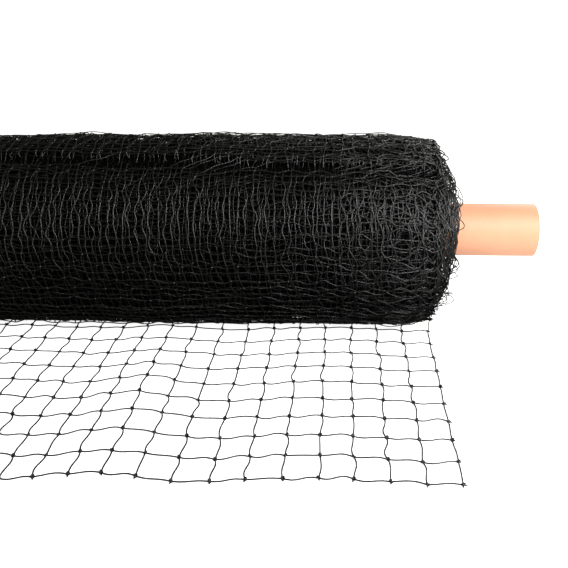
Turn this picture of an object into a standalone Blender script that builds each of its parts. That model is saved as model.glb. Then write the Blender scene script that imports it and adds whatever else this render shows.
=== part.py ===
"""A roll of black knotted safety netting wound on a cardboard tube, its loose end lying on the floor.

Metres, +Z up. The origin is the middle of the flat spot that the roll rests on, under the tube's
middle. The tube runs along X, and the loose end of the net lies in front of the roll, towards -Y.
"""
import math

import bpy
import bmesh

# Driving sizes of the net, in metres
MESH = 0.030                    # knot to knot, both ways
MESHES_WIDE = 33                # width of the net, selvedge to selvedge
ROWS_LOOSE = 10                 # rows of knots that lie in front of the roll
FIRST_ROW = 0.0423              # from under the roll's middle to the first of them
BACK_END = 0.0245               # where the strands disappear under the roll
TAIL = 0.003                    # cut ends past the last row
STRAND = 0.0012                 # width and height of a strand
KNOT_HEIGHT = 0.0022

# Driving sizes of the roll and of its tube, in metres
ROLL_RADIUS = 0.110
FLAT_SAG = 0.001                # how far its own weight has flattened the roll underneath
TUBE_RADIUS = 0.0304
TUBE_WALL = 0.005
TUBE_LENGTH = 1.232
TUBE_RISE = 0.003               # the tube lies this far above the roll's middle
CLEARANCE = 0.0003              # between the tube and the net wound on it

# How uneven the loose end is, in metres
KNOT_STRAY_X = 0.0007
KNOT_STRAY_Y = 0.0010
STRAND_BOW = 0.0020
SELVEDGE_BOW = 0.0006
BOW_STRAY = 0.12                # a bow's place along its strand, as a share of the strand
END_STRAY = 0.0012

# How uneven the rounded ends of the roll are, in metres
END_TUCK = 0.005                # the lower half of an end lies this much further in
END_BUNCH = 0.0018

# Numbers that scatter the stray values
CHANCE_WEIGHTS = (12.9898, 78.2330, 37.7190)
CHANCE_SPREAD = 43758.5453

NET_BLACK = (0.012, 0.012, 0.013)
NET_ROUGHNESS = 0.6
CARDBOARD_TAN = (0.86, 0.62, 0.38)
CARDBOARD_ROUGHNESS = 0.75

HALF_WIDTH = MESH * MESHES_WIDE / 2
ROLL_HEIGHT = ROLL_RADIUS - FLAT_SAG
TUBE_HEIGHT = ROLL_HEIGHT + TUBE_RISE
BORE_RADIUS = TUBE_RADIUS + CLEARANCE

# Angles round the roll, in degrees up from the front: from, to, steps
ARCS = (
    (-90, 40, 18),
    (40, 70, 8),
    (70, 270, 26),
)

# Rounded end of the roll: share of the wound depth, reach past the selvedge line in metres
END_PROFILE = (
    (1.000, -0.052),
    (0.963, -0.023),
    (0.888, -0.001),
    (0.775, 0.011),
    (0.640, 0.018),
    (0.410, 0.024),
    (0.184, 0.028),
    (0.000, 0.030),
)
BODY_STEPS = 28

# Long creases of the roll: angle, half width in degrees, depth in metres (a bulge is below zero)
CREASES = (
    (54, 4.5, 0.0065),
    (65, 6.0, -0.0020),
    (14, 26.0, -0.0015),
    (-22, 7.0, 0.0025),
    (118, 9.0, 0.0030),
    (163, 12.0, -0.0020),
    (201, 8.0, 0.0030),
)
CREASE_VARY = 0.35              # share of a crease's depth that comes and goes along it
CREASE_WAVE = 0.33              # in metres along the tube

# Sway of the creases: degrees, length of a wave along the tube in metres, start in radians
SWAYS = (
    (2.2, 0.53, 0.6),
    (1.3, 0.23, 2.0),
)

# Soft lumps: height in metres, length of a wave along the tube in metres and round it in degrees
LUMPS = (
    (0.0009, 0.33, 145),
    (0.0007, 0.21, -90),
    (0.0006, 0.13, 195),
)

# Degrees from the flat spot where creases and lumps begin, and where they reach their full depth
CALM_ARC = (18, 48)

# Waves of the loose end across its width: height in metres, columns to a wave, start in columns
DRIFTS = (
    (0.0038, 6.2, 2.4),
    (0.0010, 4.1, 0.7),
)

# Where its columns lie to one side: column, reach in columns, shift in metres
SHIFTS = (
    (9.6, 2.2, -0.0035),
    (16.5, 3.4, 0.0085),
    (25.0, 2.6, 0.0040),
    (30.0, 2.0, -0.0030),
)

# Soft humps of the loose end: column, row, reach in columns, reach in rows, rise, push to the roll
HUMPS = (
    (10.1, 5.9, 1.0, 2.4, 0.0022, 0.0040),
    (3.2, 3.4, 1.6, 2.4, 0.0012, 0.0010),
    (22.5, 4.6, 1.7, 2.9, 0.0026, 0.0050),
    (29.0, 7.5, 1.5, 2.2, 0.0018, 0.0030),
)


def bell(value):
    """A smooth hump, 1 at zero."""
    return math.exp(-value * value)


def turn_between(angle, middle):
    """Degrees from one angle to another, the short way round."""
    return (angle - middle + 180) % 360 - 180


def chance(*keys):
    """A fixed number from -1 to 1 for each set of keys."""
    mixed = sum(key * weight for key, weight in zip(keys, CHANCE_WEIGHTS))
    value = math.sin(mixed) * CHANCE_SPREAD
    return 2 * (value - math.floor(value)) - 1


def plain_material(name, colour, roughness):
    """One plain material of the given colour."""
    material = bpy.data.materials.new(name)
    material.use_nodes = True
    shader = material.node_tree.nodes["Principled BSDF"]
    shader.inputs["Base Color"].default_value = (*colour, 1)
    shader.inputs["Roughness"].default_value = roughness
    shader.inputs["Metallic"].default_value = 0
    return material


def solid(name, points, faces, material, smooth_angle):
    """One closed object from its points and faces, shaded smooth up to an angle in degrees."""
    mesh = bpy.data.meshes.new(name)
    mesh.from_pydata(points, [], faces)
    shape = bmesh.new()
    shape.from_mesh(mesh)
    bmesh.ops.triangulate(shape, faces=shape.faces[:])
    bmesh.ops.recalc_face_normals(shape, faces=shape.faces[:])
    shape.to_mesh(mesh)
    shape.free()
    mesh.shade_smooth()
    mesh.set_sharp_from_angle(angle=math.radians(smooth_angle))
    mesh.materials.append(material)
    thing = bpy.data.objects.new(name, mesh)
    bpy.context.scene.collection.objects.link(thing)
    return thing


def wrapped_grid(rings):
    """Faces between rings of points, closed along the rings and from the last ring to the first."""
    points = [point for ring in rings for point in ring]
    count = len(rings[0])
    faces = []
    for here in range(len(rings)):
        there = (here + 1) % len(rings)
        for step in range(count):
            beside = (step + 1) % count
            faces.append((
                here * count + step,
                there * count + step,
                there * count + beside,
                here * count + beside,
            ))
    return points, faces


def tube_ring(x, radius, sides=64):
    """Points round the tube's axis."""
    turns = [2 * math.pi * step / sides for step in range(sides)]
    return [(x, radius * math.cos(turn), radius * math.sin(turn)) for turn in turns]


def build_tube():
    """The cardboard tube: plain, hollow, cut square at both ends."""
    end = TUBE_LENGTH / 2
    inside = TUBE_RADIUS - TUBE_WALL
    rings = [
        tube_ring(-end, inside),
        tube_ring(-end, TUBE_RADIUS),
        tube_ring(end, TUBE_RADIUS),
        tube_ring(end, inside),
    ]
    points, faces = wrapped_grid(rings)
    material = plain_material("cardboard", CARDBOARD_TAN, CARDBOARD_ROUGHNESS)
    tube = solid("core_tube", points, faces, material, 40)
    tube.location = (0, 0, TUBE_HEIGHT)
    return tube


def roll_angles():
    """The angles of the roll's points, with the flat spot's middle first."""
    angles = []
    for start, end, steps in ARCS:
        angles += [start + (end - start) * step / steps for step in range(steps)]
    return angles


def wound_radius(angle, x):
    """Radius of the wound net at an angle and a place along it: creases, soft lumps and a true base."""
    sway = sum(size * math.sin(2 * math.pi * x / wave + begin) for size, wave, begin in SWAYS)
    radius = 0
    for middle, half_width, depth in CREASES:
        strength = 1 + CREASE_VARY * math.sin(2 * math.pi * x / CREASE_WAVE + middle)
        radius -= depth * strength * bell(turn_between(angle, middle + sway) / half_width)
    for height, along, around in LUMPS:
        radius += height * math.sin(2 * math.pi * (x / along + angle / around))
    begins, full = CALM_ARC
    from_floor = abs(turn_between(angle, -90))
    share = min(1, max(0, (from_floor - begins) / (full - begins)))
    return ROLL_RADIUS + radius * share


def outer_point(angle, x):
    """Y and Z of a point on the roll's outside, flat where it rests."""
    radius = wound_radius(angle, x)
    turn = math.radians(angle)
    height = ROLL_HEIGHT + radius * math.sin(turn)
    return -radius * math.cos(turn), max(0, height)


def bore_point(angle):
    """Y and Z of a point on the bore that the tube fills."""
    turn = math.radians(angle)
    return -BORE_RADIUS * math.cos(turn), TUBE_HEIGHT + BORE_RADIUS * math.sin(turn)


def end_ring(side, share, reach):
    """One ring of a rounded end, between the roll's outside and its bore."""
    ring = []
    for angle in roll_angles():
        lower = (1 - math.sin(math.radians(angle))) / 2
        bulge = math.sin(math.pi * share)
        bunching = END_BUNCH * math.sin(3 * math.radians(angle) + side)
        out = reach + (bunching - END_TUCK * lower) * bulge
        x = side * (HALF_WIDTH + out)
        outer_y, outer_z = outer_point(angle, side * (HALF_WIDTH + reach))
        inner_y, inner_z = bore_point(angle)
        ring.append((
            x,
            inner_y + (outer_y - inner_y) * share,
            inner_z + (outer_z - inner_z) * share,
        ))
    return ring


def body_ring(x):
    """One ring of the roll's outside between its rounded ends."""
    return [(x, *outer_point(angle, x)) for angle in roll_angles()]


def build_roll():
    """The wound net as one hollow solid: outside with its long creases, and two rounded ends."""
    rings = []
    for share, reach in reversed(END_PROFILE):
        rings.append(end_ring(-1, share, reach))
    straight = HALF_WIDTH + END_PROFILE[0][1]
    for step in range(1, BODY_STEPS):
        rings.append(body_ring(-straight + 2 * straight * step / BODY_STEPS))
    for share, reach in END_PROFILE:
        rings.append(end_ring(1, share, reach))
    points, faces = wrapped_grid(rings)
    material = plain_material("wound_net", NET_BLACK, NET_ROUGHNESS)
    return solid("net_roll", points, faces, material, 60)


def knot_place(column, row):
    """A knot of the loose end on the floor, and how far the net stands up from the floor there."""
    x = HALF_WIDTH - MESH * column
    for middle, reach, shift in SHIFTS:
        x += shift * bell((column - middle) / reach)
    y = -(FIRST_ROW + MESH * (row - 1))
    for height, wave, start in DRIFTS:
        y += height * math.sin(2 * math.pi * (column - start) / wave)
    rise = 0
    for hump_column, hump_row, wide, long, up, push in HUMPS:
        strength = bell((column - hump_column) / wide) * bell((row - hump_row) / long)
        rise += up * strength
        y += push * strength
    x += KNOT_STRAY_X * chance(column, row, 1)
    y += KNOT_STRAY_Y * chance(column, row, 2)
    return x, y, rise


class NetSheet:
    """The loose end as one closed sheet of strands: flat below, a ridge along each strand."""

    def __init__(self):
        self.points = []
        self.faces = []
        self.corners = {}
        self.peaks = {}

    def add(self, x, y, z):
        """Adds a point and gives its number."""
        self.points.append((x, y, z))
        return len(self.points) - 1

    def add_knot(self, column, row):
        """Four corners on the floor and a raised middle."""
        x, y, rise = knot_place(column, row)
        half = STRAND / 2
        for side_x in (-1, 1):
            for side_y in (-1, 1):
                key = (column, row, side_x, side_y)
                self.corners[key] = self.add(x + side_x * half, y + side_y * half, rise)
        self.peaks[column, row] = self.add(x, y, rise + KNOT_HEIGHT)
        self.faces.append([
            self.corners[column, row, side_x, side_y]
            for side_x, side_y in ((-1, -1), (-1, 1), (1, 1), (1, -1))
        ])

    def side_of(self, column, row, direction):
        """The two corners and the peak that a strand leaves a knot from, seen along the strand."""
        along_x, along_y = direction
        if along_x:
            pair = ((along_x, along_x), (along_x, -along_x))
        else:
            pair = ((-along_y, along_y), (along_y, along_y))
        left, right = (self.corners[column, row, *corner] for corner in pair)
        return left, right, self.peaks[column, row]

    def section(self, x, y, z, direction):
        """Two floor points and a ridge point across a strand."""
        along_x, along_y = direction
        half = STRAND / 2
        left = self.add(x - along_y * half, y + along_x * half, z)
        right = self.add(x + along_y * half, y - along_x * half, z)
        return left, right, self.add(x, y, z + STRAND)

    def join(self, start, end):
        """The three long faces of a strand between two of its sections."""
        for one, two in ((0, 1), (1, 2), (2, 0)):
            self.faces.append((start[one], start[two], end[two], end[one]))

    def add_strand(self, here, there, direction, key):
        """A strand that bows a little to one side between two knots."""
        x0, y0, z0 = knot_place(*here)
        x1, y1, z1 = knot_place(*there)
        along_selvedge = here[0] == there[0] and here[0] in (0, MESHES_WIDE)
        bow = (SELVEDGE_BOW if along_selvedge else STRAND_BOW) * chance(*here, key)
        slide = 0.5 + BOW_STRAY * chance(*here, key + 4)
        length = math.hypot(x1 - x0, y1 - y0)
        along_x, along_y = (x1 - x0) / length, (y1 - y0) / length
        x = x0 + (x1 - x0) * slide - along_y * bow
        y = y0 + (y1 - y0) * slide + along_x * bow
        middle = self.section(x, y, z0 + (z1 - z0) * slide, direction)
        self.join(self.side_of(*here, direction), middle)
        backwards = (-direction[0], -direction[1])
        right, left, peak = self.side_of(*there, backwards)
        self.join(middle, (left, right, peak))

    def add_end(self, column, row, direction, y):
        """A free end of a strand, out to a line across the net."""
        x = knot_place(column, row)[0] + END_STRAY * chance(column, row, 9)
        tip = self.section(x, y, 0, direction)
        self.join(self.side_of(column, row, direction), tip)
        self.faces.append(tip)

    def close_side(self, column, row, direction):
        """The small face of a knot where no strand leaves it."""
        self.faces.append(self.side_of(column, row, direction))


def build_flap():
    """The loose end of the net, every mesh of it cut through."""
    net = NetSheet()
    columns = range(MESHES_WIDE + 1)
    rows = range(1, ROWS_LOOSE + 1)
    for column in columns:
        for row in rows:
            net.add_knot(column, row)
    for column in columns:
        for row in rows:
            if column < MESHES_WIDE:
                net.add_strand((column, row), (column + 1, row), (-1, 0), 3)
            if row < ROWS_LOOSE:
                net.add_strand((column, row), (column, row + 1), (0, -1), 5)
        net.add_end(column, 1, (0, 1), -BACK_END)
        front = knot_place(column, ROWS_LOOSE)[1] - TAIL
        net.add_end(column, ROWS_LOOSE, (0, -1), front)
    for row in rows:
        net.close_side(0, row, (1, 0))
        net.close_side(MESHES_WIDE, row, (-1, 0))
    material = plain_material("loose_net", NET_BLACK, NET_ROUGHNESS)
    return solid("net_flap", net.points, net.faces, material, 30)


def main():
    """Clears the scene and builds the roll, its tube and the loose end."""
    for thing in list(bpy.data.objects):
        bpy.data.objects.remove(thing)
    build_tube()
    build_roll()
    build_flap()


main()
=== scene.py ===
import math

import bpy
import numpy as np
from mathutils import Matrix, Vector
from mathutils.bvhtree import BVHTree


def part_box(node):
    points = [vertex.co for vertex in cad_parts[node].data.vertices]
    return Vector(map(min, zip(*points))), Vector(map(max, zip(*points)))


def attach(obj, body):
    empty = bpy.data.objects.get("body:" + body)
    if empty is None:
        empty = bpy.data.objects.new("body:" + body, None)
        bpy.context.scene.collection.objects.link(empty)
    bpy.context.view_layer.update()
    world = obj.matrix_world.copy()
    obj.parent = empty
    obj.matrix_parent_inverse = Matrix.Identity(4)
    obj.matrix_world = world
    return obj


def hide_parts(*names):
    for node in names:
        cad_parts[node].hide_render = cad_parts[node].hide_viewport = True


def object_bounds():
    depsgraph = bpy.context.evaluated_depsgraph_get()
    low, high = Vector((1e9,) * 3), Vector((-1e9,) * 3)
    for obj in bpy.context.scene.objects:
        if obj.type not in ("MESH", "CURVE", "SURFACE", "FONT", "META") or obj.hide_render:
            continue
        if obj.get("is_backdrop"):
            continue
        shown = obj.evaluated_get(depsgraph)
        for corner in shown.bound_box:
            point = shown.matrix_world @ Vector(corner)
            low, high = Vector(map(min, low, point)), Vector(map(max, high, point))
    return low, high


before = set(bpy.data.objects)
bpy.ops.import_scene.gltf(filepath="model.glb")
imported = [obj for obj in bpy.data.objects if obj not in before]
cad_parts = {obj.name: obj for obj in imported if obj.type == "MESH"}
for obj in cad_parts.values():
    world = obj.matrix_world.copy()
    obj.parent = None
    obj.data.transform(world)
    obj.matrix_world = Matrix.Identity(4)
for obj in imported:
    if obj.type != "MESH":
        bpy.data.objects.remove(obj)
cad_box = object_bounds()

# Camera, in metres and degrees
CAMERA_PLACE = (0.3905, -0.7780, 0.3876)
CAMERA_DOWN = 24.05
CAMERA_TURN = 1.46
CAMERA_LENS = 44.4
CAMERA_SHIFT = -0.068

# Soft lights: name, degrees right of the front, height and spread in degrees, strength, colour
LIGHTS = (
    ("left", -60, 24, 80, 0.36, (1.0, 0.97, 0.78)),
    ("right", 58, 28, 80, 0.68, (1.0, 0.99, 0.92)),
    ("high", 40, 56, 54, 0.25, (1.0, 0.98, 0.86)),
    ("rim", -14, 154, 46, 0.24, (1.0, 0.97, 0.80)),
)
SKY_STRENGTH = 0.015
FLOOR_SHADE = 0.60
FLOOR_GLOW = 0.95
FLOOR_PLACE = -0.0002  # just under the net
WALL_FOOT = -0.1
STAGE_SIZE = 12

# Lamps near the roll's ends: name, place in metres, size in metres, power, x that they point at
LAMPS = (
    ("near_end", (0.86, -0.56, 0.62), 0.55, 16.5, 0.45),
    ("behind_end", (0.90, 0.45, 0.40), 0.40, 3.6, 0.45),
    ("under_end", (0.62, -0.26, 0.004), 0.28, 0.4, 0.45),
    ("far_end", (-0.95, -0.45, 0.40), 0.40, 2.6, -0.66),
)

# The net, in metres
MESH = 0.030
MESHES_WIDE = 33
ROWS_LOOSE = 10
FIRST_ROW = 0.0423
TWINE = 0.00115
LOOSE_TWINE = 0.00145  # it lies less tight where the net is slack
TWINE_TWIST = 0.0032  # length of one turn of the twine's plies
HALF_WIDTH = MESH * MESHES_WIDE / 2

# The tube and the roll, in metres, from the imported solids
TUBE_LOW, TUBE_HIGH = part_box("core_tube")
TUBE_HEIGHT = (TUBE_LOW.z + TUBE_HIGH.z) / 2
TUBE_RADIUS = (TUBE_HIGH.z - TUBE_LOW.z) / 2
TUBE_END = TUBE_HIGH.x
TUBE_WALL = 0.005
BORE_RADIUS = TUBE_RADIUS + 0.0003
ROLL_HEIGHT = 0.109
BODY_END = 0.440  # the roll is a plain cylinder as far as this

# The unevenness of the wound strands, in metres
COLUMN_WAVES = (0.0006, (1, 2, 3, 5))  # each column's slow waves: size, counts to a turn
ROW_WAVES = (0.0013, (0.5, 1, 2, 4))  # each row's: size, counts along the roll
WOUND_STRAY = (0.0010, 0.0009)  # how far knots stray along X and round the roll
WOUND_LIFT = 0.0004  # how far these and strands lie off their layer
WOUND_BOW = 0.0010
KNOT_SWERVE = 0.0012  # each knot turns its strands a little,
SWERVE_STRAY = 0.0008  # more or less by about this
KINK = 0.00032  # small kinks all along the strands
TOP_LOOSE = 1.2  # strands stand off this much more on top,
TOP_LOOSE_PLACE = (92, 24)  # at this angle and reach in degrees

# Waves that the layers share: how many, counts to a turn, lengths along X, size
SIDE_DRIFT = (14, (8, 24), (0.10, 0.45), 0.0005)
ROUND_DRIFT = (10, (2, 8), (0.06, 0.25), 0.0014)
DRIFT_DEPTH = 0.008  # they fade over this depth

# The outer strands run aside as they come down the front
LEAN_RUN = 0.0055  # by this,
LEAN_SOFTNESS = 3.2  # over about this many degrees,
LEAN_DEPTH = 0.004  # but only in layers above this

# The slack ends of the turns, in metres
NEAR_END = 0.36  # the tangle of the ends starts at this x,
NEAR_LENGTH = 0.12  # and is full after this length
END_STRAY = 0.0021  # how far its knots stray
END_BEND = 0.9  # its strands bend more by this share
LOW_TANGLE = 0.9  # they stray more by this share low on the ends,
LOW_START = 0.3  # below this sine of the angle
SLACK_REACH = 0.486  # the edges reach at least this far along X,
SLACK_SWAY = 0.006  # and further by this on top
SLACK_SHARE = 0.9  # their sag is that at this share of the wound depth
EDGE_OUT = 0.0020  # how far the knots on an edge stand out
EDGE_GAP = 0.012  # those beside them stay this far behind,
EDGE_SHIFT = 0.010  # and lie further out by this
END_LOOP = 0.0060  # how far the selvedge loops stand out
LOOP_SIZES = (0.35, 0.35)  # the least of that, and how much it varies
WIDE_LOOPS = (0.16, 2.6)  # this share of them is larger, by this
CALM_LOOPS = 0.5  # on top they stand out less by this share,
CALM_PLACE = (88, 20)  # at this angle and reach in degrees
EDGE_MESH = 0.0150  # meshes near the selvedges are bunched to this
EDGE_STRAY = (0.0035, 0.0022)  # how far their knots stray, round and along X
EDGE_BEND = (0.0015, 0.0030)  # how far their rows and the strands between them bend
EDGE_LIFT = (0.0008, 0.0006)  # and how far these lie off their layer
EDGE_SKEW = (0.050, 0.012)  # how far loops and inner rows lean, in radians
END_SAG = 0.0105  # how much further the edges reach low on the ends
SAG_START = (0.5, 0.9)  # it grows downwards with the sine of the angle,
SAG_FLOOR = (1.95, 2.0)  # fades again near the floor,
SAG_SHARE = (0.76, 0.30)  # and is largest about this share of the wound depth
END_PUFF = 0.0060  # how much further they reach high on the ends,
END_PUFF_PLACE = (56, 32)  # at this angle and reach in degrees
SKIN_KEEP = 0.4  # layers keep this share of their depth on the rounded ends
ON_FLOOR = TWINE * 0.55  # no wound strand lies lower

# The loose end, in metres: knots and bows as in its solid
STRAND_BOW = 0.0020
SELVEDGE_BOW = 0.0006
KNOT_STRAY_X = 0.0007
KNOT_STRAY_Y = 0.0010
CHANCE_WEIGHTS = (12.9898, 78.2330, 37.7190)
CHANCE_SPREAD = 43758.5453
LOOSE_SWERVE = (0.0006, -0.0011)  # how knots turn the strands across and along the roll
LOOSE_STRAY = 0.0005  # how far this varies, and how high the strands arch
SELVEDGE_STRAY = 0.00025
LOOSE_STEPS = np.linspace(0, 1, 9)  # where the points of a strand lie along it
LOOSE_REST = TWINE * 0.52  # height of its strands on the floor
LOOSE_KNOT = 0.0038  # size of a tied knot, and height of its middle
LOOSE_KNOT_REST = 0.0012
STUB = (0.0022, 0.0012)  # cut ends past the selvedges: least length, and what it varies by

CORNER_KNOT = (0.4990, -0.0320, 0.0085)  # hangs from the roll's right end: x, y and height
SLACK_COLUMN = 7  # the slack row shows from this column to the left

# Waves of the loose end: height in metres, columns to a wave, start in columns
DRIFTS = (
    (0.0038, 6.2, 2.4),
    (0.0010, 4.1, 0.7),
)

# Where its columns lie to one side: column, reach in columns, shift in metres
SHIFTS = (
    (9.6, 2.2, -0.0035),
    (16.5, 3.4, 0.0085),
    (25.0, 2.6, 0.0040),
    (30.0, 2.0, -0.0030),
)

# Soft humps: column, row, reach in columns, reach in rows, rise, push to the roll
HUMPS = (
    (10.1, 5.9, 1.0, 2.4, 0.0022, 0.0040),
    (3.2, 3.4, 1.6, 2.4, 0.0012, 0.0010),
    (22.5, 4.6, 1.7, 2.9, 0.0026, 0.0050),
    (29.0, 7.5, 1.5, 2.2, 0.0018, 0.0030),
)

# Groups of net layers from the outside in: name, depths, sides, steps to a mesh, faces of a knot
LAYERS = (
    ("wound_net_outer", (0.0005, 0.0009), 4, 6, 20),
    ("wound_net_second", (0.0013, 0.0017), 4, 5, 8),
    ("wound_net_third", (0.0022, 0.0027, 0.0032, 0.0038, 0.0045), 3, 3, 8),
    ("wound_net_deep", (0.0051, 0.0057, 0.0063, 0.0069, 0.0075, 0.0082), 3, 2, 0),
)
# How the four outer layers lie: sideways shift in metres, and degrees up to a row of knots
OUTER_LAYS = (
    (-0.0126, 38.0),
    (0.0, 46.4),
    (-0.0064, 42.4),
    (0.0086, 50.2),
)
WOUND_KNOT = (0.0015, 0.8)  # size of a wound knot, and how flat it lies
WOUND_DEPTH = 0.0793  # from the roll's outside to the tube

# The inner body, dark as black twine and darker still as painted shade of the turns above it, in metres
CORE_DEPTH = 0.0092  # how deep it starts,
CORE_LUMPS = ((0.0008, 0.013, 3), (0.0006, 0.007, -8))  # its lumps: size, length, counts to a turn
CORE_INSET = 0.015  # how far inside the roll's ends it stops
CORE_SHOULDER = 0.012  # its plain part stops this far before the rounded ends
CORE_FLOOR = 0.002  # it lies no lower

# Edges of the inner layers: first and last depth, step, rows of knots, how far back
EDGE_LAYERS = (
    (0.0012, 0.0088, 0.0019, 5, 0.0040),
    (0.0090, 0.0770, 0.0016, 3, 0.0090),
)

LAYER_SEED, EDGE_SEED, LOOSE_SEED = 41, 43, 47  # of the random numbers

# The lip high on the roll's front, in degrees and metres. In pairs: the mean, more on the left by
LIP_ANGLE = (64.0, 4.4)
LIP_DEPTH = 0.0012  # the roll sinks by this under it,
LIP_WIDTH = 2.4  # over this many degrees,
LIP_RISE = (11.0, 3.0)  # and comes back out over this many
STEP_PLACE = 0.260  # left and right meet at this x, over this length
STEP_LENGTH = 0.050
GAP_ANGLE = (59.7, 3.2)  # the dark gap under the lip, where few rows lie
GAP_HALF = (4.0, 0.5)  # its half width
GAP_SPREAD = (2.3, 0.9)  # the push on the rows fades over this many times itself,
GAP_REACH = 1.0  # and ends this far off, in radians
GAP_DEPTH = 0.0048  # only the layers above this are parted
TUCK_LAYERS = 0.0042  # strands of the layers above this dip into the gap,
TUCK_DEPTH = 0.0088  # to this depth,
TUCK_STRAY = 1.3  # at places that vary by this, in degrees,
TUCK_SLOPE = 0.15  # those near its edge are drawn up to it, but for this share
BRIDGE_ARC = (38, 76)  # the turns bridge the solid's crease between these
TOP_PUFF = 0.0028  # the outer turns lie loose on top near the right end
TOP_PUFF_PLACE = (88, 26, 0.36, 0.13)  # angle and reach in degrees, x and reach in metres

# The cardboard tube
RIM = 0.0006
CARD_PALE = (0.49, 0.222, 0.124)
CARD_DEEP = (0.46, 0.205, 0.112)
CARD_SEAM = (0.44, 0.192, 0.102)
SEAM_PITCH = 0.135  # one turn of its spiral seam
SEAM_HALF = 0.0035  # half its width, in pitches
PLY = 0.0008  # thickness of the cardboard's plies
CUT_DEPTH = 0.0004  # how deep the cut ends show them

# Finishes of the twine: colour, lighter patches, roughness, gloss. The inner and deep finishes are
# darker, duller copies of the outer one: painted shade for the layers that lie under others.
OUTER_FINISH = ((0.0020, 0.0020, 0.0017), (0.0055, 0.0055, 0.0048), 0.36, 0.50)
INNER_PAINTED_SHADE_FINISH = ((0.0016, 0.0016, 0.0014), (0.0042, 0.0042, 0.0036), 0.35, 0.46)
DEEP_PAINTED_SHADE_FINISH = ((0.0002, 0.0002, 0.0002), (0.0006, 0.0006, 0.0005), 0.36, 0.12)
# Tones of the deep body: darker than the twine, as painted shade of the turns above it
CORE_PAINTED_SHADES = ((0.0, (0.0006,) * 3), (0.12, (0.0001,) * 3))


def put(name, data):
    """A new object in the scene."""
    thing = bpy.data.objects.new(name, data)
    bpy.context.scene.collection.objects.link(thing)
    return thing


def make_camera():
    """The camera at the photograph's viewing angle."""
    data = bpy.data.cameras.new("camera")
    data.lens = CAMERA_LENS
    data.shift_x = CAMERA_SHIFT
    camera = put("camera", data)
    camera.location = CAMERA_PLACE
    camera.rotation_euler = (math.radians(90 - CAMERA_DOWN), 0, math.radians(CAMERA_TURN))
    bpy.context.scene.camera = camera


def chance(*keys):
    """A fixed number from -1 to 1 for each set of keys."""
    mixed = sum(key * weight for key, weight in zip(keys, CHANCE_WEIGHTS))
    value = math.sin(mixed) * CHANCE_SPREAD
    return 2 * (value - math.floor(value)) - 1


def bell(value):
    """A smooth hump, 1 at zero."""
    return np.exp(-value * value)


def hump(angle, middle, reach):
    """A smooth hump round the roll, 1 at its middle, in degrees."""
    return bell((np.degrees(angle) % 360 - middle) / reach)


def stepped(pair, x):
    """A value of the lip, which is more to the left of its step and less to the right."""
    middle, change = pair
    return middle - change * np.tanh((x - STEP_PLACE) / STEP_LENGTH)


def tube_faces(lines, steps, sides, closed):
    """Quads of many tubes, each a grid of steps by sides."""
    line = np.arange(lines)[:, None, None] * steps
    here = line + np.arange(steps if closed else steps - 1)[None, :, None]
    there = line + (here - line + 1) % steps
    side = np.arange(sides)
    beside = (side + 1) % sides
    corners = (here * sides + side, here * sides + beside, there * sides + beside, there * sides + side)
    return np.stack(corners, axis=-1).reshape(-1, 4)


class Shell:
    """Collects points and faces of many closed shapes for one joined mesh."""

    def __init__(self):
        self.points = []
        self.marks = []
        self.faces = {}
        self.count = 0

    def add(self, points, marks, *faces):
        """Adds points, a pair of twine coordinates for each, and arrays of faces of one width each."""
        self.points.append(points.reshape(-1, 3))
        self.marks.append(marks.reshape(-1, 2))
        for group in faces:
            self.faces.setdefault(group.shape[-1], []).append(group + self.count)
        self.count += len(self.points[-1])

    def add_tubes(self, paths, outward, radius, sides, closed=False):
        """Round strands along many paths of equal length. outward points away from what they lie on."""
        lines, steps, _ = paths.shape
        if closed:
            along = np.roll(paths, -1, axis=1) - np.roll(paths, 1, axis=1)
        else:
            along = np.gradient(paths, axis=1)
        along /= np.linalg.norm(along, axis=2, keepdims=True)
        across = np.cross(along, outward)
        across /= np.linalg.norm(across, axis=2, keepdims=True)
        upward = np.cross(across, along)
        turns = 2 * np.pi * (np.arange(sides) + 0.5) / sides
        sideways = np.cos(turns)[:, None] * across[..., None, :]
        off = np.sin(turns)[:, None] * upward[..., None, :]
        points = paths[..., None, :] + radius * (sideways + off)
        hops = np.linalg.norm(np.diff(paths, axis=1), axis=2)
        length = np.concatenate([np.zeros((lines, 1)), np.cumsum(hops, axis=1)], axis=1)
        marks = np.zeros((lines, steps, sides, 2))
        marks[..., 0] = np.arange(sides) / sides
        marks[..., 1] = length[..., None] / TWINE_TWIST
        quads = tube_faces(lines, steps, sides, closed)
        if closed:
            self.add(points, marks, quads)
            return
        start = np.arange(lines)[:, None] * steps * sides + np.arange(sides)
        self.add(points, marks, quads, start[:, ::-1], start + (steps - 1) * sides)

    def add_body(self, points):
        """A hollow body from closed rings of points, the last one joined to the first."""
        size = points.shape[:2]
        self.add(points, np.zeros((*size, 2)), tube_faces(1, *size, True))

    def add_copies(self, points, faces, places, turns, size):
        """Copies of one small shape, each turned by its own matrix and put in its place."""
        spots = np.einsum("nij,pj->npi", turns, points) * size + places[:, None, :]
        copies = faces[None] + (np.arange(len(places)) * len(points))[:, None, None]
        self.add(spots, np.zeros((*spots.shape[:2], 2)), copies.reshape(-1, faces.shape[1]))

    def build(self, name, material):
        """One object from all that was added."""
        points = np.concatenate(self.points)
        marks = np.concatenate(self.marks)
        groups = [np.concatenate(group) for group in self.faces.values()]
        corners = np.concatenate([group.ravel() for group in groups])
        widths = np.concatenate([np.full(len(group), group.shape[1]) for group in groups])
        starts = np.concatenate([[0], np.cumsum(widths)[:-1]])
        mesh = bpy.data.meshes.new(name)
        mesh.vertices.add(len(points))
        mesh.vertices.foreach_set("co", points.astype(np.float32).ravel())
        mesh.loops.add(len(corners))
        mesh.loops.foreach_set("vertex_index", corners.astype(np.int32))
        mesh.polygons.add(len(widths))
        mesh.polygons.foreach_set("loop_start", starts.astype(np.int32))
        twine = mesh.uv_layers.new(name="twine")
        twine.data.foreach_set("uv", marks[corners].astype(np.float32).ravel())
        mesh.update(calc_edges=True)
        mesh.shade_smooth()
        mesh.materials.append(material)
        return put(name, mesh)


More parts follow.
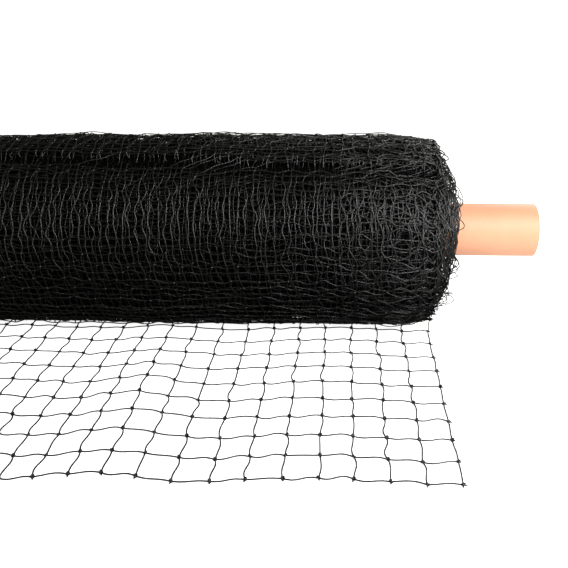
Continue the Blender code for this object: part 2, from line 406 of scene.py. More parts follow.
def end_sag(angle, share):
    """How much further the slack edges reach low on the ends, in metres."""
    below = np.clip(SAG_START[0] - SAG_START[1] * np.sin(angle), 0, 1)
    above = np.clip(SAG_FLOOR[0] + SAG_FLOOR[1] * np.sin(angle), 0, 1)
    middle, reach = SAG_SHARE
    return END_SAG * (below * above) * bell((share - middle) / reach)


class WoundForm:
    """The form of the wound net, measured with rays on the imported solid.

    A place in it is given by x, an angle in radians up from the front, and a share of the wound
    depth: 0 on the tube, 1 on the outside.
    """

    TURNS = 360
    STATIONS = np.linspace(-BODY_END, BODY_END, 177)
    SHARES = np.linspace(0.02, 1.0, 50)
    END_STATIONS = np.linspace(BODY_END, 0.540, 101)
    OUTSIDE = 0.16  # rays start this far from the middle,
    BEYOND = 0.7  # or this far out along X

    def __init__(self, node):
        mesh = node.data
        corners = [vertex.co for vertex in mesh.vertices]
        tree = BVHTree.FromPolygons(corners, [polygon.vertices for polygon in mesh.polygons])
        angles = np.arange(self.TURNS) * 2 * np.pi / self.TURNS
        self.radius = np.zeros((len(self.STATIONS), self.TURNS))
        for i, x in enumerate(self.STATIONS):
            for j, angle in enumerate(angles):
                ray = Vector((0, math.cos(angle), -math.sin(angle)))
                start = Vector((x, 0, ROLL_HEIGHT)) - ray * self.OUTSIDE
                hit = tree.ray_cast(start, ray)
                self.radius[i, j] = self.OUTSIDE - hit[3]
        self.refold(np.degrees(angles))
        self.reach = {}
        self.skin = {}
        for side in (-1, 1):
            reach = np.full((len(self.SHARES), self.TURNS), BODY_END)
            for k, share in enumerate(self.SHARES):
                places = self.section(np.full(self.TURNS, side * BODY_END), angles, share)
                for j in range(self.TURNS):
                    start = Vector((side * self.BEYOND, *places[j]))
                    hit = tree.ray_cast(start, Vector((-side, 0, 0)))
                    if hit[3] is not None:
                        reach[k, j] = max(self.BEYOND - hit[3], BODY_END)
            reach += END_PUFF * hump(angles, *END_PUFF_PLACE)
            self.reach[side] = reach
            slack = reach + end_sag(angles, self.SHARES[:, None])
            rising = np.maximum.accumulate(slack[::-1])
            skin = [np.interp(self.END_STATIONS, row, self.SHARES[::-1]) for row in rising.T]
            self.skin[side] = np.array(skin).T

    def refold(self, degrees):
        """Lets the turns bridge the solid's narrow crease, and sink under the lip above it."""
        low, high = BRIDGE_ARC
        inside = (degrees > low) & (degrees < high)
        angle, reach, middle, length = TOP_PUFF_PLACE
        for i, x in enumerate(self.STATIONS):
            row = self.radius[i]
            ends = np.interp((low, high), degrees, row)
            below = stepped(LIP_ANGLE, x) - degrees[inside]
            back = np.clip(1 - below / stepped(LIP_RISE, x), 0, 1)
            sunk = LIP_DEPTH * smooth_step(below / LIP_WIDTH + 0.5) * back
            row[inside] = np.interp(degrees[inside], (low, high), ends) - sunk
            row += TOP_PUFF * np.exp(-((degrees - angle) / reach) ** 2 - ((x - middle) / length) ** 4)

    def read(self, grid, rows, angle):
        """Reads a grid between its points. rows counts its rows, and the angle goes round."""
        rows = np.clip(rows, 0, grid.shape[0] - 1.000001)
        turns = (angle / (2 * np.pi) * self.TURNS) % self.TURNS
        i, j = rows.astype(int), turns.astype(int) % self.TURNS
        u, v = rows - i, turns - np.floor(turns)
        after = (j + 1) % self.TURNS
        near = grid[i, j] * (1 - v) + grid[i, after] * v
        far = grid[i + 1, j] * (1 - v) + grid[i + 1, after] * v
        return near * (1 - u) + far * u

    def section(self, x, angle, share):
        """Y and Z of a place in the wound net."""
        step = self.STATIONS[1] - self.STATIONS[0]
        rows = (np.clip(x, -BODY_END, BODY_END) + BODY_END) / step
        radius = self.read(self.radius, rows, angle)
        outer_y, outer_z = -radius * np.cos(angle), ROLL_HEIGHT + radius * np.sin(angle)
        inner_y = -BORE_RADIUS * np.cos(angle)
        inner_z = TUBE_HEIGHT + BORE_RADIUS * np.sin(angle)
        y = inner_y + (outer_y - inner_y) * share
        z = inner_z + (outer_z - inner_z) * share
        return np.stack([y, z], axis=-1)

    def end_reach(self, side, angle, share):
        """How far the net reaches along X at an end, at a share of the wound depth."""
        step = self.SHARES[1] - self.SHARES[0]
        rows = (share - self.SHARES[0]) / step + 0 * angle
        return self.read(self.reach[side], rows, angle) + end_sag(angle, share)

    def skin_share(self, x, angle):
        """The share of the wound depth at the roll's skin, which falls off over its rounded ends."""
        step = self.END_STATIONS[1] - self.END_STATIONS[0]
        rows = (np.abs(x) - BODY_END) / step
        right = self.read(self.skin[1], rows, angle)
        left = self.read(self.skin[-1], rows, angle)
        return np.where(np.abs(x) <= BODY_END, 1, np.where(x > 0, right, left))

    def place(self, x, angle, depth, lift, out):
        """Points of a layer at a depth in metres, lifted off it, and pushed out along X."""
        skin = self.skin_share(x, angle) - SKIN_KEEP * depth / WOUND_DEPTH
        share = np.minimum(1 - depth / WOUND_DEPTH, skin)
        spot = self.section(x, angle, np.clip(share, 0.015, 1))
        y = spot[..., 0] - lift * np.cos(angle)
        z = spot[..., 1] + lift * np.sin(angle)
        return np.stack([x + out, y, np.maximum(z, ON_FLOOR)], axis=-1)


def waves(rng, lines, steps, size, counts):
    """Smooth random waves that close on themselves, one line each: (lines, steps)."""
    u = np.arange(steps) / steps
    total = np.zeros((lines, steps))
    for count in counts:
        weight = rng.normal(0, 1, (lines, 1)) / math.sqrt(len(counts))
        total += weight * np.sin(2 * np.pi * (count * u[None] + rng.random((lines, 1))))
    return size * total


def outward_of(points):
    """Unit directions away from the roll's axis."""
    away = points - np.array([0, 0, ROLL_HEIGHT])
    away[..., 0] = 0
    return away / np.maximum(np.linalg.norm(away, axis=-1, keepdims=True), 1e-9)


def bowed(start, end, steps, bow=0, swerve=0):
    """Values between knots: straight lines from start to end with a bow and a swerve each."""
    t = np.arange(steps) / steps
    line = start[..., None] + (end - start)[..., None] * t
    line = line + np.asarray(bow)[..., None] * np.sin(np.pi * t)
    return line + np.asarray(swerve)[..., None] * np.sin(2 * np.pi * t)


def gap_place(x):
    """The middle and half width of the gap under the lip, in radians."""
    return np.radians(stepped(GAP_ANGLE, x)), np.radians(stepped(GAP_HALF, x))


def part_rows(x, angle):
    """Pushes the rows of knots out of the gap under the lip: down on the left, and up on the right."""
    middle, half = gap_place(x)
    side = stepped((0, -1), x)  # -1 on the left of the step, 1 on the right
    parting = middle - half * side
    away = (angle - parting + np.pi) % (2 * np.pi) - np.pi
    window = np.ones(3) / 3
    steady = np.array([np.convolve(row, window, "same") for row in away.T]).T
    above = np.where(steady >= 0, 1, -1)
    distance = np.maximum(above * away, 0)
    push = (1 + above * side) * half
    distance += push * np.exp(-distance / (stepped(GAP_SPREAD, x) * push + 1e-6))
    return np.where(np.abs(away) < GAP_REACH, parting + above * distance, angle)


def tuck(x, angle, lift, depth, step, rng):
    """Strands that come down the roll dip steeply into the gap under the lip, and out again."""
    middle, half = gap_place(x)
    middle = middle + np.radians(TUCK_STRAY) * rng.normal(0, 1, (len(x), 1))
    away = (angle - middle + np.pi) % (2 * np.pi) - np.pi
    beyond = np.abs(away) - half
    edge = np.sign(away) * (half + TUCK_SLOPE * beyond)
    angle = angle + np.where(np.abs(beyond) < step, edge - away, 0)
    return angle, np.where(beyond < 0, depth - TUCK_DEPTH, lift)


def lean(angle):
    """Sideways run of the outer strands as they come down the roll's front, in metres."""
    degrees = (np.degrees(angle) + 90) % 360 - 90
    return LEAN_RUN / (1 + np.exp(degrees / LEAN_SOFTNESS))


class Drift:
    """Soft waves that neighbouring layers share, so that their strands run side by side."""

    def __init__(self, rng, waves, turns, length, size):
        self.turns = rng.integers(*turns, waves)
        self.pace = 2 * np.pi / rng.uniform(*length, waves) * rng.choice((-1, 1), waves)
        self.start = rng.random(waves) * 2 * np.pi
        self.size = size * math.sqrt(2 / waves)

    def __call__(self, x, angle):
        total = 0
        for turns, pace, start in zip(self.turns, self.pace, self.start):
            total = total + np.sin(turns * angle + pace * x + start)
        return self.size * total


def smooth_step(value):
    """0 below 0, 1 above 1, and a soft rise between."""
    value = np.clip(value, 0, 1)
    return value * value * (3 - 2 * value)


def loop_heights(rng, angle):
    """How far each loop of a selvedge stands out. Most lie close, and they lie closest on top."""
    count = len(angle)
    least, stray = LOOP_SIZES
    heights = END_LOOP * (least + stray * np.abs(rng.normal(0, 1, count)))
    wide, wider = WIDE_LOOPS
    heights *= np.where(rng.random(count) < wide, wider, 1)
    return heights * (1 - CALM_LOOPS * hump(angle, *CALM_PLACE))


def layer_strands(knots, radius, around, steps, rng):
    """Strands of one layer from knot to knot: x, angle, lift and push out along X of their points.

    They run along the rows, from end to end of the roll, or else around it, along the columns.
    """
    x, angle, lift, out, tangle, looseness = knots

    def pairs(values):
        """What a value is at the start and the end of each strand."""
        if around:
            return values, np.roll(values, -1, axis=1)
        return values[:-1].T, values[1:].T

    shape = pairs(x)[0].shape
    rough = 1 + END_BEND * pairs(tangle)[0]
    bow = rng.normal(0, WOUND_BOW, shape) * rough
    swerve = rng.normal(KNOT_SWERVE if around else -KNOT_SWERVE, SWERVE_STRAY, shape) * rough
    puff = np.abs(rng.normal(0, WOUND_LIFT, shape)) * (rough + pairs(looseness)[0])
    start, end = pairs(angle)
    end = start + (end - start + np.pi) % (2 * np.pi) - np.pi
    bulge = np.zeros(shape)
    if around:
        strand_x = bowed(*pairs(x), steps, bow, swerve)
        strand_angle = bowed(start, end, steps)
        bulge[0] = loop_heights(rng, angle[0])
        bulge[-1] = -loop_heights(rng, angle[-1])
        strand_x += rng.normal(0, KINK, strand_x.shape)
    else:
        strand_x = bowed(*pairs(x), steps)
        strand_angle = bowed(start, end, steps, bow / radius, swerve / radius)
        strand_angle += rng.normal(0, KINK / radius, strand_angle.shape)
    strand_lift = bowed(*pairs(lift), steps, puff)
    strand_out = bowed(*pairs(out), steps, bulge)
    lines = []
    for values, last in ((strand_x, x), (strand_angle, angle), (strand_lift, lift), (strand_out, out)):
        line = values.reshape(len(values), -1)
        lines.append(line if around else np.column_stack([line, last[-1]]))
    return lines


def layer_knots(form, drifts, depth, lay, rng):
    """A layer's knots, columns by rows: x, angle, lift, push out, tangle and looseness of each."""
    shift, phase = lay
    radius = ROLL_HEIGHT - depth
    shared = math.exp(-depth / DRIFT_DEPTH)
    rows = round(2 * np.pi * radius / MESH)
    columns = MESHES_WIDE + 1
    base = HALF_WIDTH - MESH * np.arange(columns)[:, None]
    x = base + shift + waves(rng, columns, rows, *COLUMN_WAVES)
    x += rng.normal(0, WOUND_STRAY[0], (columns, rows))
    angle = 2 * np.pi * np.arange(rows)[None] / rows + math.radians(phase) + np.zeros((columns, 1))
    wander = waves(rng, rows, columns, *ROW_WAVES).T + rng.normal(0, WOUND_STRAY[1], (columns, rows))
    angle += wander / radius
    x += drifts[0](base + 0 * x, angle) * shared
    angle += drifts[1](base + 0 * x, angle) * shared / radius
    if depth < GAP_DEPTH:
        angle = part_rows(x, angle)
    if depth < LEAN_DEPTH:
        x += lean(angle)
    nearness = smooth_step((np.abs(x) - NEAR_END) / NEAR_LENGTH)
    looseness = TOP_LOOSE * hump(angle, *TOP_LOOSE_PLACE)
    tangle = nearness * (1 + LOW_TANGLE * np.clip(LOW_START - np.sin(angle), 0, 1))
    x += tangle * rng.normal(0, END_STRAY, x.shape)
    angle += tangle * rng.normal(0, END_STRAY, x.shape) / radius
    out = np.zeros_like(x)
    for column, side in ((0, 1), (columns - 1, -1)):
        slack = SLACK_REACH + SLACK_SWAY * np.sin(angle[column]) + end_sag(angle[column], SLACK_SHARE)
        edge = np.maximum(slack, form.end_reach(side, angle[column], 1 - depth / WOUND_DEPTH))
        x[column] = side * edge
        out[column] = side * np.abs(rng.normal(0, EDGE_OUT, rows))
        beside = column + side
        x[beside] = side * np.minimum(edge - EDGE_GAP, np.abs(x[beside]) + EDGE_SHIFT)
    lift = rng.normal(0, WOUND_LIFT, x.shape) * (1 + 2 * nearness)
    return x, angle, lift, out, tangle, looseness


def net_layer(shell, form, drifts, depth, lay, sides, steps, rng):
    """One layer of net wound once round the roll, from end to end. Returns the places of its knots."""
    knots = layer_knots(form, drifts, depth, lay, rng)
    x, angle, lift, out, _, _ = knots
    for around in (False, True):
        strands = layer_strands(knots, ROLL_HEIGHT - depth, around, steps, rng)
        line_x, line_angle, line_lift, line_out = strands
        if around and depth < TUCK_LAYERS:
            step = 2 * np.pi / line_x.shape[1]
            line_angle, line_lift = tuck(line_x, line_angle, line_lift, depth, step, rng)
        points = form.place(line_x, line_angle, depth, line_lift, line_out)
        shell.add_tubes(points, outward_of(points), TWINE / 2, sides, around)
    return form.place(x, angle, depth, lift, out).reshape(-1, 3)


def ball(detail):
    """A small round shape of 8 or 20 faces."""
    if detail == 8:
        points = np.array([(1, 0, 0), (-1, 0, 0), (0, 1, 0), (0, -1, 0), (0, 0, 1), (0, 0, -1)], float)
        faces = np.array([
            (0, 2, 4), (2, 1, 4), (1, 3, 4), (3, 0, 4),
            (2, 0, 5), (1, 2, 5), (3, 1, 5), (0, 3, 5),
        ])
        return points, faces
    gold = (1 + math.sqrt(5)) / 2
    points = np.array([
        (-1, gold, 0), (1, gold, 0), (-1, -gold, 0), (1, -gold, 0),
        (0, -1, gold), (0, 1, gold), (0, -1, -gold), (0, 1, -gold),
        (gold, 0, -1), (gold, 0, 1), (-gold, 0, -1), (-gold, 0, 1),
    ]) / math.hypot(1, gold)
    faces = np.array([
        (0, 11, 5), (0, 5, 1), (0, 1, 7), (0, 7, 10), (0, 10, 11),
        (1, 5, 9), (5, 11, 4), (11, 10, 2), (10, 7, 6), (7, 1, 8),
        (3, 9, 4), (3, 4, 2), (3, 2, 6), (3, 6, 8), (3, 8, 9),
        (4, 9, 5), (2, 4, 11), (6, 2, 10), (8, 6, 7), (9, 8, 1),
    ])
    return points, faces


def random_turns(rng, count):
    """Random rotations as matrices."""
    spin, _ = np.linalg.qr(rng.normal(size=(count, 3, 3)))
    spin *= np.sign(np.linalg.det(spin))[:, None, None]
    return spin


def spread_lay(number):
    """How an inner layer lies, so that the layers' strands spread evenly over each mesh."""
    across = (0.30 + number * 0.618) % 1
    around = (0.15 + number * 0.755) % 1
    return (across - 0.5) * MESH, around * 360


def build_layers(form, materials):
    """The outer layers of the wound net, strand by strand, in a few joined meshes."""
    rng = np.random.default_rng(LAYER_SEED)
    drifts = (Drift(rng, *SIDE_DRIFT), Drift(rng, *ROUND_DRIFT))
    lays = iter(OUTER_LAYS)
    size, flatness = WOUND_KNOT
    count = 0
    for (name, depths, sides, steps, knot_faces), material in zip(LAYERS, materials):
        shell = Shell()
        knots = []
        for depth in depths:
            lay = next(lays, None) or spread_lay(count)
            count += 1
            knots.append(net_layer(shell, form, drifts, depth, lay, sides, steps, rng))
        if knot_faces:
            places = np.concatenate(knots)
            points, faces = ball(knot_faces)
            turns = random_turns(rng, len(places))
            shell.add_copies(points * (1.0, 1.0, flatness), faces, places, turns, size)
        piece = shell.build(name, material)
        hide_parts("net_roll")
        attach(piece, "root")


def edge_layer(shell, rng, form, side, depth, levels, back):
    """The edge of one inner layer at one end: slack rows of knots, and the strands between them."""
    share = 1 - depth / WOUND_DEPTH
    radius = BORE_RADIUS + share * WOUND_DEPTH
    rows = max(7, round(2 * np.pi * radius / MESH))
    even = 2 * np.pi * (np.arange(rows) + rng.random()) / rows
    knots = even + rng.normal(0, EDGE_STRAY[0], rows) / radius
    ahead = np.roll(knots, -1)
    ahead[-1] += 2 * np.pi

    def lay(angle, out, lift, closed):
        """Adds strands of this edge."""
        x = side * (form.end_reach(side, angle, share) - back)
        points = form.place(x, angle, depth, lift, side * out)
        shell.add_tubes(points, outward_of(points), TWINE / 2, 3, closed)

    ends = []
    steps = 6
    for level in range(levels):
        outs = -level * EDGE_MESH + rng.normal(0, EDGE_STRAY[1], rows)
        height = rng.normal(0, EDGE_BEND[0], rows) if level else loop_heights(rng, knots)
        skew = rng.normal(0, EDGE_SKEW[level > 0], rows)
        lift = np.repeat(rng.normal(0, EDGE_LIFT[0], rows), steps)
        angle = bowed(knots, ahead, steps, skew).ravel()[None]
        lay(angle, bowed(outs, np.roll(outs, -1), steps, height).ravel()[None], lift, True)
        ends.append(outs)
    t = np.linspace(0, 1, 4)
    for outer, inner in zip(ends[:-1], ends[1:]):
        bend = rng.normal(0, EDGE_BEND[1] / radius, (rows, 1)) * np.sin(np.pi * t)
        out = outer[:, None] + (inner - outer)[:, None] * t
        lay(knots[:, None] + bend, out, rng.normal(0, EDGE_LIFT[1], out.shape), False)


def build_end_layers(form, material):
    """The edges of the inner layers, which show at the roll's two ends."""
    rng = np.random.default_rng(EDGE_SEED)
    for side, name in ((1, "wound_edges_right"), (-1, "wound_edges_left")):
        shell = Shell()
        for first, last, step, levels, back in EDGE_LAYERS:
            for depth in np.arange(first, last, step):
                edge_layer(shell, rng, form, side, depth, levels, back)
        piece = shell.build(name, material)
        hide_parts("net_roll")
        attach(piece, "root")


def build_core(form, material):
    """The mass of the deeper turns, one lumpy hollow body under the strands: dark as black twine, and
    darker still as painted shade.
    """
    count = 120
    angle = 2 * np.pi * np.arange(count) / count
    rings = []
    shares = np.linspace(0.02, 1 - CORE_DEPTH / WOUND_DEPTH, 9)

    def end(side, share):
        """One ring of the body's end."""
        reach = form.end_reach(side, angle, share) - CORE_INSET
        spot = form.section(np.full(count, side * BODY_END), angle, share)
        return np.column_stack([side * reach, spot])

    for share in shares:
        rings.append(end(-1, share))
    edge = BODY_END - CORE_SHOULDER
    for x in np.linspace(-edge, edge, 81):
        lump = 0
        for size, length, turns in CORE_LUMPS:
            lump = lump + size * np.sin(x / length + turns * angle)
        share = 1 - (CORE_DEPTH + lump) / WOUND_DEPTH
        rings.append(np.column_stack([np.full(count, x), form.section(np.full(count, x), angle, share)]))
    for share in shares[::-1]:
        rings.append(end(1, share))
    shell = Shell()
    shell.add_body(np.maximum(np.array(rings), (-np.inf, -np.inf, CORE_FLOOR)))
    piece = shell.build("wound_core", material)
    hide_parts("net_roll")
    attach(piece, "root")


def knot_place(column, row):
    """A knot of the loose end, and how far the net stands up from the floor there."""
    if (column, row) == (0, 0):
        return CORNER_KNOT
    x = HALF_WIDTH - MESH * column
    for middle, reach, shift in SHIFTS:
        x += shift * bell((column - middle) / reach)
    y = -(FIRST_ROW + MESH * (row - 1))
    for height, wave, start in DRIFTS:
        y += height * math.sin(2 * math.pi * (column - start) / wave)
    rise = 0
    for hump_column, hump_row, wide, long, up, push in HUMPS:
        strength = bell((column - hump_column) / wide) * bell((row - hump_row) / long)
        rise += up * strength
        y += push * strength
    x += KNOT_STRAY_X * chance(column, row, 1)
    y += KNOT_STRAY_Y * chance(column, row, 2)
    return x, y, rise


def loose_strand(here, there, key, rng):
    """Points of one strand between two knots of the loose end."""
    x0, y0, z0 = knot_place(*here)
    x1, y1, z1 = knot_place(*there)
    across_roll = here[0] == there[0]
    on_selvedge = across_roll and here[0] in (0, MESHES_WIDE)
    bow = (SELVEDGE_BOW if on_selvedge else STRAND_BOW) * chance(*here, key)
    turned = LOOSE_SWERVE[0 if across_roll else 1]
    swerve = rng.normal(0, SELVEDGE_STRAY) if on_selvedge else rng.normal(turned, LOOSE_STRAY)
    arch = abs(rng.normal(0, LOOSE_STRAY))
    length = math.hypot(x1 - x0, y1 - y0)
    along_x, along_y = (x1 - x0) / length, (y1 - y0) / length
    t = LOOSE_STEPS
    side = bow * np.sin(np.pi * t) + swerve * np.sin(2 * np.pi * t)
    x = x0 + (x1 - x0) * t - along_y * side
    y = y0 + (y1 - y0) * t + along_x * side
    return np.column_stack([x, y, LOOSE_REST + z0 + (z1 - z0) * t + arch * np.sin(np.pi * t)])


def slack_row(rng):
    """A slack row of the outer turn, which droops onto the floor along the roll's foot."""
    t = LOOSE_STEPS
    half_wave = np.sin(np.pi * t)
    full_wave = np.sin(2 * np.pi * t)
    spots = []
    for column in range(SLACK_COLUMN, MESHES_WIDE + 1):
        x = knot_place(column, 0)[0] + rng.normal(0, 0.004)
        y = -0.0350 + rng.normal(0, 0.0012)
        z = 0.0012 + abs(rng.normal(0, 0.0010))
        spots.append((x, y, z))
    for start, end in zip(spots[:-1], spots[1:]):
        line = np.array(start) + np.outer(t, np.array(end) - np.array(start))
        bow = rng.normal(0, 0.0020) * half_wave
        line[:, 1] += bow + rng.normal(0, 0.0016) * full_wave
        line[:, 2] += abs(rng.normal(0, 0.0012)) * half_wave
        yield line
    for x, y, z in spots:
        drift = rng.normal(0, 0.003)
        yield np.column_stack([x + drift * t * t, y + 0.004 * t, z + 0.012 * t])


def straight_up(paths):
    """The upward direction for every point of paths on the floor."""
    up = np.zeros_like(paths)
    up[..., 2] = 1
    return up


def knot_shape():
    """A tied knot: two bent bights of twine locked through each other, about 1 across."""
    shell = Shell()
    t = np.linspace(0, 1, 8)
    loops = []
    for turn in (0, math.pi / 2):
        bend = 2 * math.pi * 0.86 * t
        x = 0.33 * np.cos(bend) + 0.04
        y = 0.33 * np.sin(bend)
        z = 0.24 * np.sin(bend + turn)
        c, s = math.cos(turn * 2), math.sin(turn * 2)
        loops.append(np.column_stack([x * c - y * s, x * s + y * c, z]))
    paths = np.array(loops)
    shell.add_tubes(paths, straight_up(paths), 0.20, 4)
    return shell


def cut_ends(columns, rows):
    """Strands under the roll, short cut ends past the last row, and stubs past the selvedges."""
    t = LOOSE_STEPS
    for column in columns:
        x, y, rise = knot_place(column, 0)
        climb = 0.008 if column in (0, MESHES_WIDE) else 0
        yield np.column_stack([x + 0 * t, y + 0.020 * t, LOOSE_REST + rise + climb * t * t])
        x, y, rise = knot_place(column, ROWS_LOOSE)
        sway = 0.0012 * chance(column, ROWS_LOOSE, 9)
        yield np.column_stack([x + sway * t, y - 0.003 * t, LOOSE_REST + rise * (1 - t)])
    for row in rows:
        for column, side in ((0, 1), (MESHES_WIDE, -1)):
            x, y, rise = knot_place(column, row)
            stub = STUB[0] + STUB[1] * abs(chance(column, row, 11))
            height = TWINE * 0.6 + rise + 0 * t
            yield np.column_stack([x + side * stub * t, y - 0.0006 * t, height])


def build_flap(material):
    """The loose end of the net: every strand round and a little bent, every knot tied."""
    rng = np.random.default_rng(LOOSE_SEED)
    strands = []
    columns = range(MESHES_WIDE + 1)
    rows = range(ROWS_LOOSE + 1)
    places = []
    for column in columns:
        for row in rows:
            x, y, rise = knot_place(column, row)
            places.append((x, y, rise + LOOSE_KNOT_REST))
            if column < MESHES_WIDE:
                strands.append(loose_strand((column, row), (column + 1, row), 3, rng))
            if row < ROWS_LOOSE:
                strands.append(loose_strand((column, row), (column, row + 1), 5, rng))
    strands.extend(slack_row(rng))
    shell = Shell()
    for lines in (strands, list(cut_ends(columns, rows))):
        paths = np.array(lines)
        shell.add_tubes(paths, straight_up(paths), LOOSE_TWINE / 2, 6)
    knot = knot_shape()
    knot_points = np.concatenate(knot.points)
    turns = []
    for _ in places:
        spin = rng.random() * 2 * math.pi
        c, s = math.cos(spin), math.sin(spin)
        turns.append(((c, -s, 0), (s, c, 0), (0, 0, 1)))
    for groups in knot.faces.values():
        faces = np.concatenate(groups)
        shell.add_copies(knot_points, faces, np.array(places), np.array(turns), LOOSE_KNOT)
    piece = shell.build("loose_net", material)
    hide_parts("net_flap")
    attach(piece, "root")


def build_tube(material):
    """The cardboard tube with softened rims."""
    inner = TUBE_RADIUS - TUBE_WALL
    profile = [(x, inner) for x in (0, 0.30, 0.50, TUBE_END - 0.010, TUBE_END - RIM)]
    profile += [(TUBE_END, inner + RIM), (TUBE_END, TUBE_RADIUS - RIM)]
    profile += [(x, TUBE_RADIUS) for x in (TUBE_END - RIM, TUBE_END - 0.010, 0.50, 0.30, 0)]
    loop = profile + [(-x, radius) for x, radius in profile[::-1]][1:-1]
    count = 128
    turn = 2 * np.pi * np.arange(count) / count
    rings = []
    for x, radius in loop:
        y, z = radius * np.cos(turn), TUBE_HEIGHT + radius * np.sin(turn)
        rings.append(np.column_stack([np.full(count, x), y, z]))
    shell = Shell()
    shell.add_body(np.array(rings))
    piece = shell.build("cardboard_tube", material)
    piece.data.set_sharp_from_angle(angle=math.radians(35))
    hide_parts("core_tube")
    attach(piece, "root")


class Nodes:
    """Short calls for building a material's nodes."""

    def __init__(self, name):
        self.material = bpy.data.materials.new(name)
        self.material.use_nodes = True
        self.tree = self.material.node_tree
        self.inputs = self.tree.nodes["Principled BSDF"].inputs
        self.place = self.add("TexCoord").outputs["Object"]

    def add(self, kind, **values):
        """A node, with its options and its sockets' values by name."""
        node = self.tree.nodes.new("ShaderNode" + kind)
        for name, value in values.items():
            if name in node.inputs:
                node.inputs[name].default_value = value
            else:
                setattr(node, name, value)
        return node

    def math(self, operation, first, second=0.0):
        """A math node on sockets or numbers."""
        node = self.add("Math", operation=operation)
        for socket, value in zip(node.inputs, (first, second)):
            if isinstance(value, (int, float)):
                socket.default_value = value
            else:
                self.link(value, socket)
        return node.outputs[0]

    def ramp(self, factor, *stops):
        """A colour ramp between two stops of a position and a colour."""
        node = self.add("ValToRGB")
        for element, (position, colour) in zip(node.color_ramp.elements, stops):
            element.position = position
            element.color = (*colour, 1)
        self.link(factor, node.inputs[0])
        return node.outputs[0]

    def texture(self, kind, **values):
        """A texture's value in the object's own coordinates."""
        node = self.add(kind, **values)
        self.link(self.place, node.inputs["Vector"])
        return node.outputs[0]

    def bump(self, height, strength, distance):
        """Gives the shader a relief."""
        node = self.add("Bump", Strength=strength, Distance=distance)
        self.link(height, node.inputs["Height"])
        self.link(node.outputs[0], self.inputs["Normal"])

    def link(self, source, target):
        """Links an output to an input."""
        self.tree.links.new(source, target)


def net_material(name, colour, light, roughness, gloss):
    """Black twine: laid plies, a little fuzz, and a soft sheen that varies along it."""
    nodes = Nodes(name)
    uv = nodes.add("UVMap", uv_map="twine")
    parts = nodes.add("SeparateXYZ")
    nodes.link(uv.outputs[0], parts.inputs[0])
    plies = nodes.math("ADD", nodes.math("MULTIPLY", parts.outputs[0], 3.0), parts.outputs[1])
    wave = nodes.math("SINE", nodes.math("MULTIPLY", plies, 2 * math.pi))
    fuzz = nodes.texture("TexNoise", Scale=2600.0, Detail=2.0)
    patches = nodes.texture("TexNoise", Scale=70.0, Detail=3.0)
    tint = nodes.ramp(patches, (0.30, colour), (0.72, light))
    nodes.link(tint, nodes.inputs["Base Color"])
    rough = nodes.add("MapRange")
    rough.inputs["To Min"].default_value = roughness - 0.08
    rough.inputs["To Max"].default_value = roughness + 0.12
    nodes.link(fuzz, rough.inputs[0])
    nodes.link(rough.outputs[0], nodes.inputs["Roughness"])
    nodes.inputs["Specular IOR Level"].default_value = gloss
    nodes.bump(nodes.math("ADD", nodes.math("MULTIPLY", wave, 0.5), fuzz), 0.35, 0.0002)
    return nodes.material


def core_material():
    """The deep turns of net, with a coarse tangle for relief: almost black and nearly without gloss, the
    black twine made darker and duller as painted shade of the turns above.
    """
    nodes = Nodes("net_depth_painted_shade")
    tangle = nodes.texture("TexVoronoi", Scale=240.0, feature="DISTANCE_TO_EDGE")
    shade = nodes.ramp(tangle, *CORE_PAINTED_SHADES)
    nodes.link(shade, nodes.inputs["Base Color"])
    nodes.inputs["Roughness"].default_value = 0.85
    nodes.inputs["Specular IOR Level"].default_value = 0.05
    nodes.bump(tangle, 0.8, 0.001)
    return nodes.material


def card_material():
    """Cardboard: mottled pulp, a faint spiral seam outside, and thin plies on the cut ends."""
    nodes = Nodes("card")
    parts = nodes.add("SeparateXYZ")
    nodes.link(nodes.place, parts.inputs[0])
    x, y, z = parts.outputs
    height = nodes.math("SUBTRACT", z, TUBE_HEIGHT)
    turn = nodes.math("DIVIDE", nodes.math("ARCTAN2", height, y), 2 * math.pi)
    spiral = nodes.math("FRACT", nodes.math("ADD", nodes.math("DIVIDE", x, SEAM_PITCH), turn))
    off_seam = nodes.math("ABSOLUTE", nodes.math("SUBTRACT", spiral, 0.5))
    seam = nodes.math("LESS_THAN", off_seam, SEAM_HALF)
    squares = nodes.math("ADD", nodes.math("MULTIPLY", height, height), nodes.math("MULTIPLY", y, y))
    radius = nodes.math("SQRT", squares)
    plies = nodes.math("SINE", nodes.math("MULTIPLY", radius, 2 * math.pi / PLY))
    at_end = nodes.math("GREATER_THAN", nodes.math("ABSOLUTE", x), TUBE_END - CUT_DEPTH)
    mottle = nodes.texture("TexNoise", Scale=55.0, Detail=6.0, Roughness=0.65)
    pulp = nodes.ramp(mottle, (0.30, CARD_DEEP), (0.70, CARD_PALE))
    ply_shade = nodes.math("MULTIPLY", nodes.math("ADD", plies, 1.0), 0.2)
    cut_plies = nodes.math("MULTIPLY", at_end, ply_shade)
    dark = nodes.math("MAXIMUM", nodes.math("MULTIPLY", seam, 0.35), cut_plies)
    mix = nodes.add("Mix", data_type="RGBA")
    nodes.link(dark, mix.inputs[0])
    colour_inputs = [socket for socket in mix.inputs if socket.type == "RGBA"]
    nodes.link(pulp, colour_inputs[0])
    colour_inputs[1].default_value = (*CARD_SEAM, 1)
    colour_output = [socket for socket in mix.outputs if socket.type == "RGBA"][0]
    nodes.link(colour_output, nodes.inputs["Base Color"])
    nodes.inputs["Roughness"].default_value = 0.58
    nodes.inputs["Sheen Weight"].default_value = 0.40
    nodes.inputs["Sheen Roughness"].default_value = 0.40
    nodes.inputs["Sheen Tint"].default_value = (1, 0.75, 0.55, 1)
    fibre = nodes.texture("TexNoise", Scale=900.0, Detail=4.0)
    relief = nodes.math("SUBTRACT", fibre, nodes.math("MULTIPLY", seam, 1.5))
    nodes.bump(relief, 0.25, 0.0003)
    return nodes.material


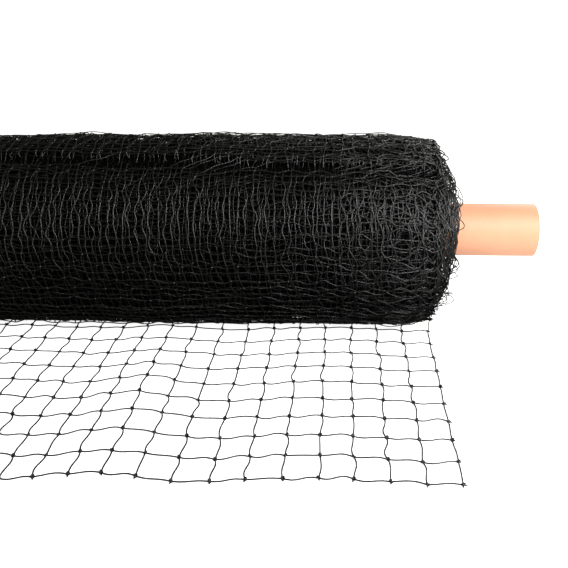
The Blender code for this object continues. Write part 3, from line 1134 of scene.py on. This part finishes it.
def floor_material():
    """A plain pale floor."""
    nodes = Nodes("pale_floor")
    nodes.inputs["Base Color"].default_value = (FLOOR_SHADE, FLOOR_SHADE, FLOOR_SHADE, 1)
    nodes.inputs["Roughness"].default_value = 0.9
    nodes.inputs["Specular IOR Level"].default_value = 0.1
    nodes.inputs["Emission Color"].default_value = (1, 1, 1, 1)
    nodes.inputs["Emission Strength"].default_value = FLOOR_GLOW
    return nodes.material


def stage_surface(name, points, faces, material):
    """A part of the stage, which the net and the tube don't mirror."""
    mesh = bpy.data.meshes.new(name)
    mesh.from_pydata(points, [], faces)
    mesh.materials.append(material)
    surface = put(name, mesh)
    surface.visible_glossy = False
    surface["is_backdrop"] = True
    return surface


def make_studio():
    """A plain pale floor and wall that glow, soft lights all round, and lamps near the roll's ends."""
    pale = floor_material()
    size = STAGE_SIZE
    corners = [(-size, -size, 0), (size, -size, 0), (size, size, 0), (-size, size, 0)]
    floor = stage_surface("floor", corners, [(0, 1, 2, 3)], pale)
    floor.location.z = FLOOR_PLACE
    count = 64
    points = []
    faces = []
    for turn in range(count):
        angle = 2 * math.pi * turn / count
        x, y = size * math.cos(angle), size * math.sin(angle)
        points += [(x, y, WALL_FOOT), (x, y, size)]
        here = 2 * turn
        beside = 2 * ((turn + 1) % count)
        faces.append((here, beside, beside + 1, here + 1))
    wall = stage_surface("wall", points, faces, pale)
    wall.visible_diffuse = False
    wall.visible_shadow = False
    world = bpy.data.worlds.new("studio")
    world.use_nodes = True
    sky = world.node_tree.nodes["Background"]
    sky.inputs[0].default_value = (1, 1, 1, 1)
    sky.inputs[1].default_value = SKY_STRENGTH
    bpy.context.scene.world = world
    for name, turn, height, spread, strength, colour in LIGHTS:
        data = bpy.data.lights.new(name, "SUN")
        data.angle = math.radians(spread)
        data.energy = strength
        data.color = colour
        put(name, data).rotation_euler = (math.radians(90 - height), 0, math.radians(turn))
    for name, place, size, power, target in LAMPS:
        data = bpy.data.lights.new(name, "AREA")
        data.size = size
        data.energy = power
        lamp = put(name, data)
        lamp.location = place
        aim = Vector((target, 0, ROLL_HEIGHT)) - lamp.location
        lamp.rotation_euler = aim.to_track_quat("-Z", "Y").to_euler()
        lamp.visible_camera = False
    bpy.context.scene.view_settings.view_transform = "Standard"


make_camera()
make_studio()
wound = WoundForm(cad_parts["net_roll"])
twine = net_material("black_twine", *OUTER_FINISH)
# The inner and deep twines are darker, duller copies of the black twine: painted shade for the layers
# that lie under others.
inner_twine_painted_shade = net_material("inner_twine_painted_shade", *INNER_PAINTED_SHADE_FINISH)
deep_twine_painted_shade = net_material("deep_twine_painted_shade", *DEEP_PAINTED_SHADE_FINISH)
build_core(wound, core_material())
build_layers(wound, (twine, twine, inner_twine_painted_shade, deep_twine_painted_shade))
build_end_layers(wound, twine)
build_flap(twine)
build_tube(card_material())

sizes = {"cad": cad_box, "visual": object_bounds()}
{name: [list(corner) for corner in box] for name, box in sizes.items()}
